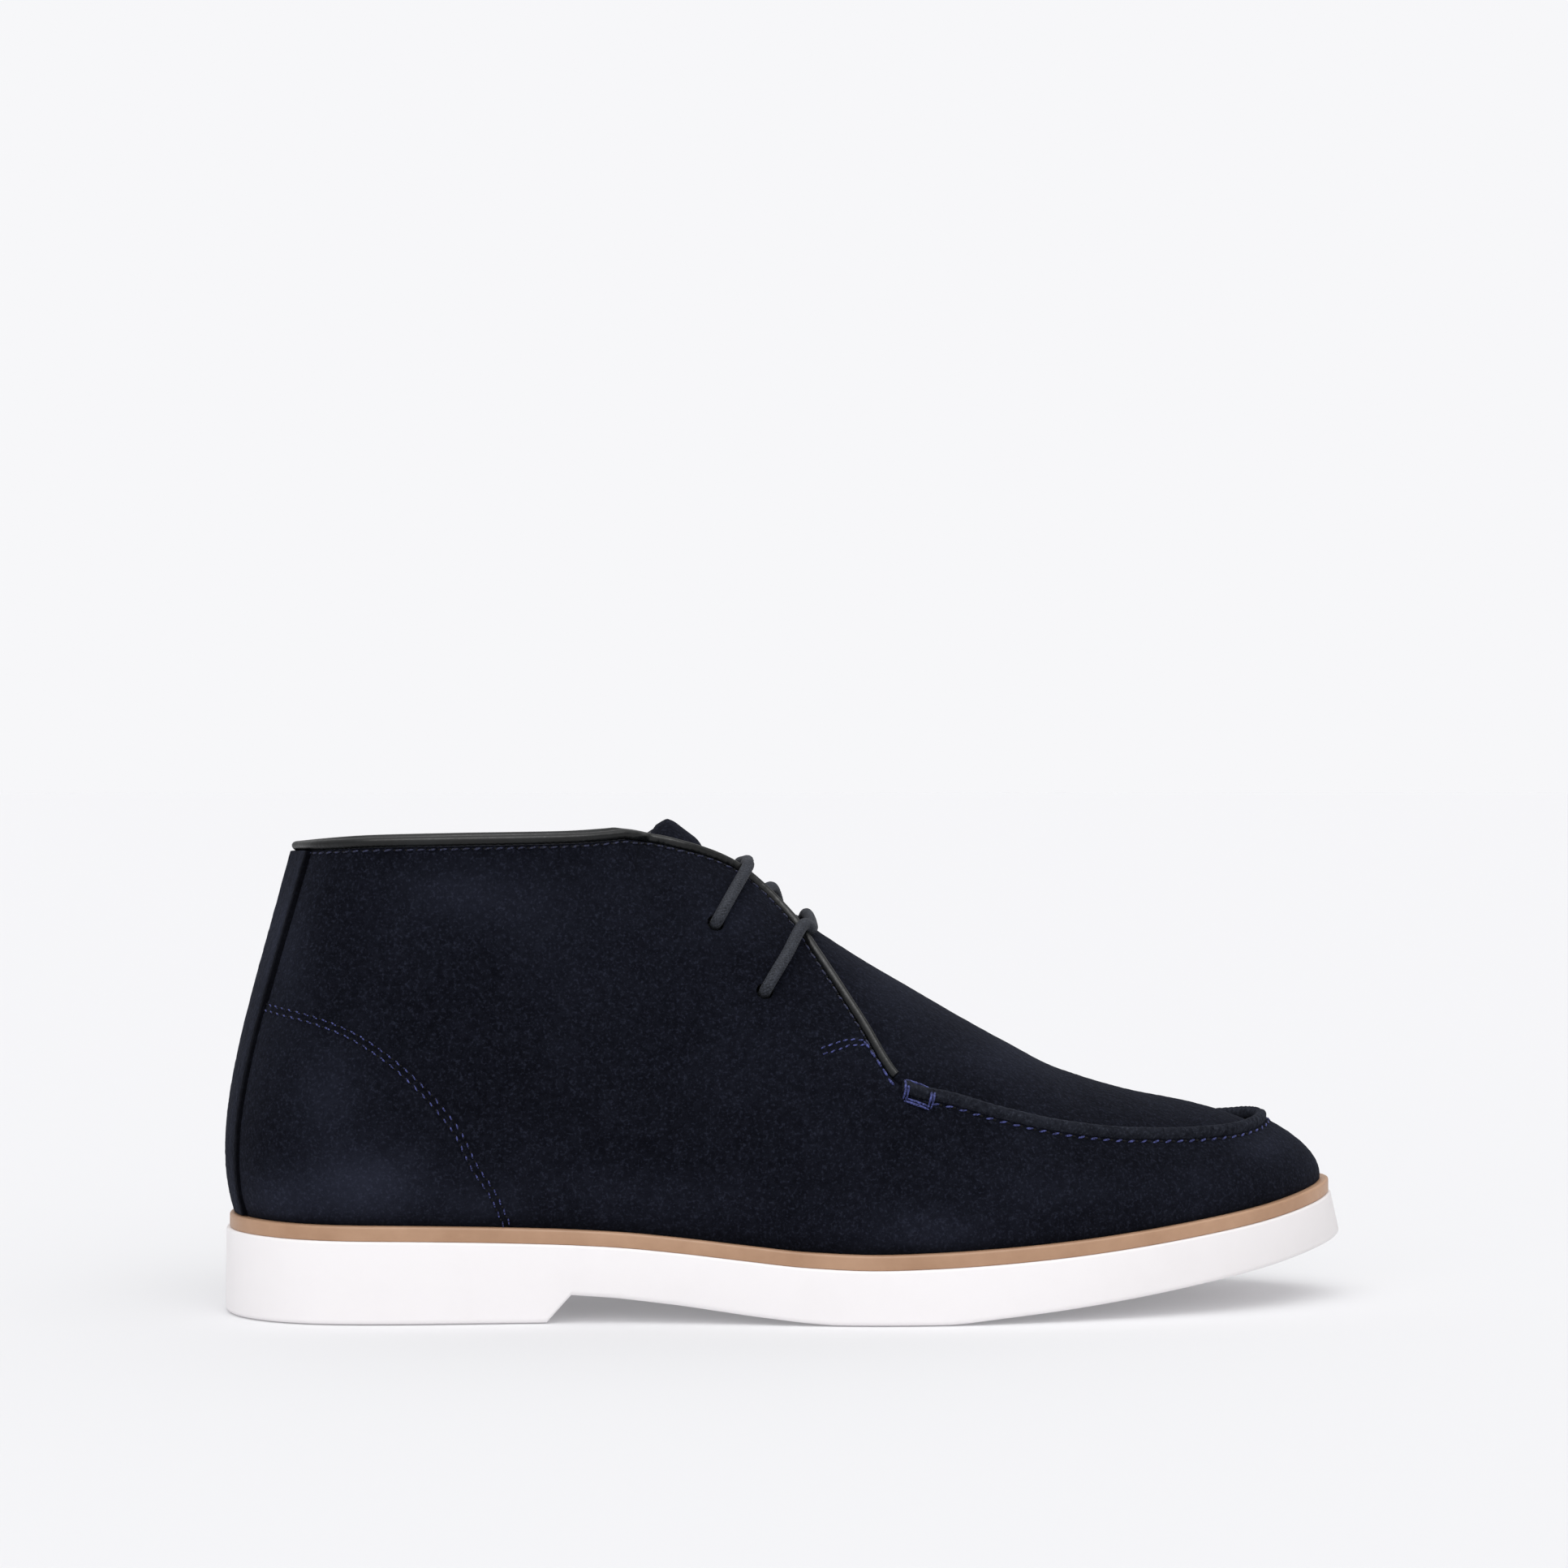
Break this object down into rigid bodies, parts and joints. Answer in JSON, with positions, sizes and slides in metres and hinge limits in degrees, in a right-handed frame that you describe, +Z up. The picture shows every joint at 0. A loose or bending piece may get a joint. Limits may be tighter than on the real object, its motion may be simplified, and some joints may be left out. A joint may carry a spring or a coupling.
{
  "type": "chukka boot",
  "caption": "Men's suede chukka boot for the right foot, ankle high, with a raised moccasin apron, laced throat, welt and light rubber sole.",
  "frame": {"origin": "on the ground, under the middle of the boot's bounding box", "axes": "+X towards the toe, +Z up, +Y towards the inner side of the foot (right boot, so -Y is the outer side)"},
  "size_m": [0.3022, 0.1044, 0.1303],
  "materials": {
    "suede": "dark navy suede with a short nap, matt",
    "binding_leather": "smooth near-black leather, half gloss",
    "lining": "dark smooth lining leather, guessed",
    "thread": "blue twisted sewing thread",
    "lace": "round waxed cotton lace, dark grey",
    "tan_welt": "tan, satin",
    "white_rubber": "white, matt"
  },
  "bodies": {
    "root": {"outsole": "white_rubber", "welt": "tan_welt", "insole": "lining", "upper": "suede", "apron_tongue": "suede", "heel_strip": "suede", "topline_binding": "binding_leather", "apron_roll": "suede", "lace_bar_upper": "lace", "lace_bar_lower": "lace", "lace_cross": "lace"}
  },
  "joints": []
}
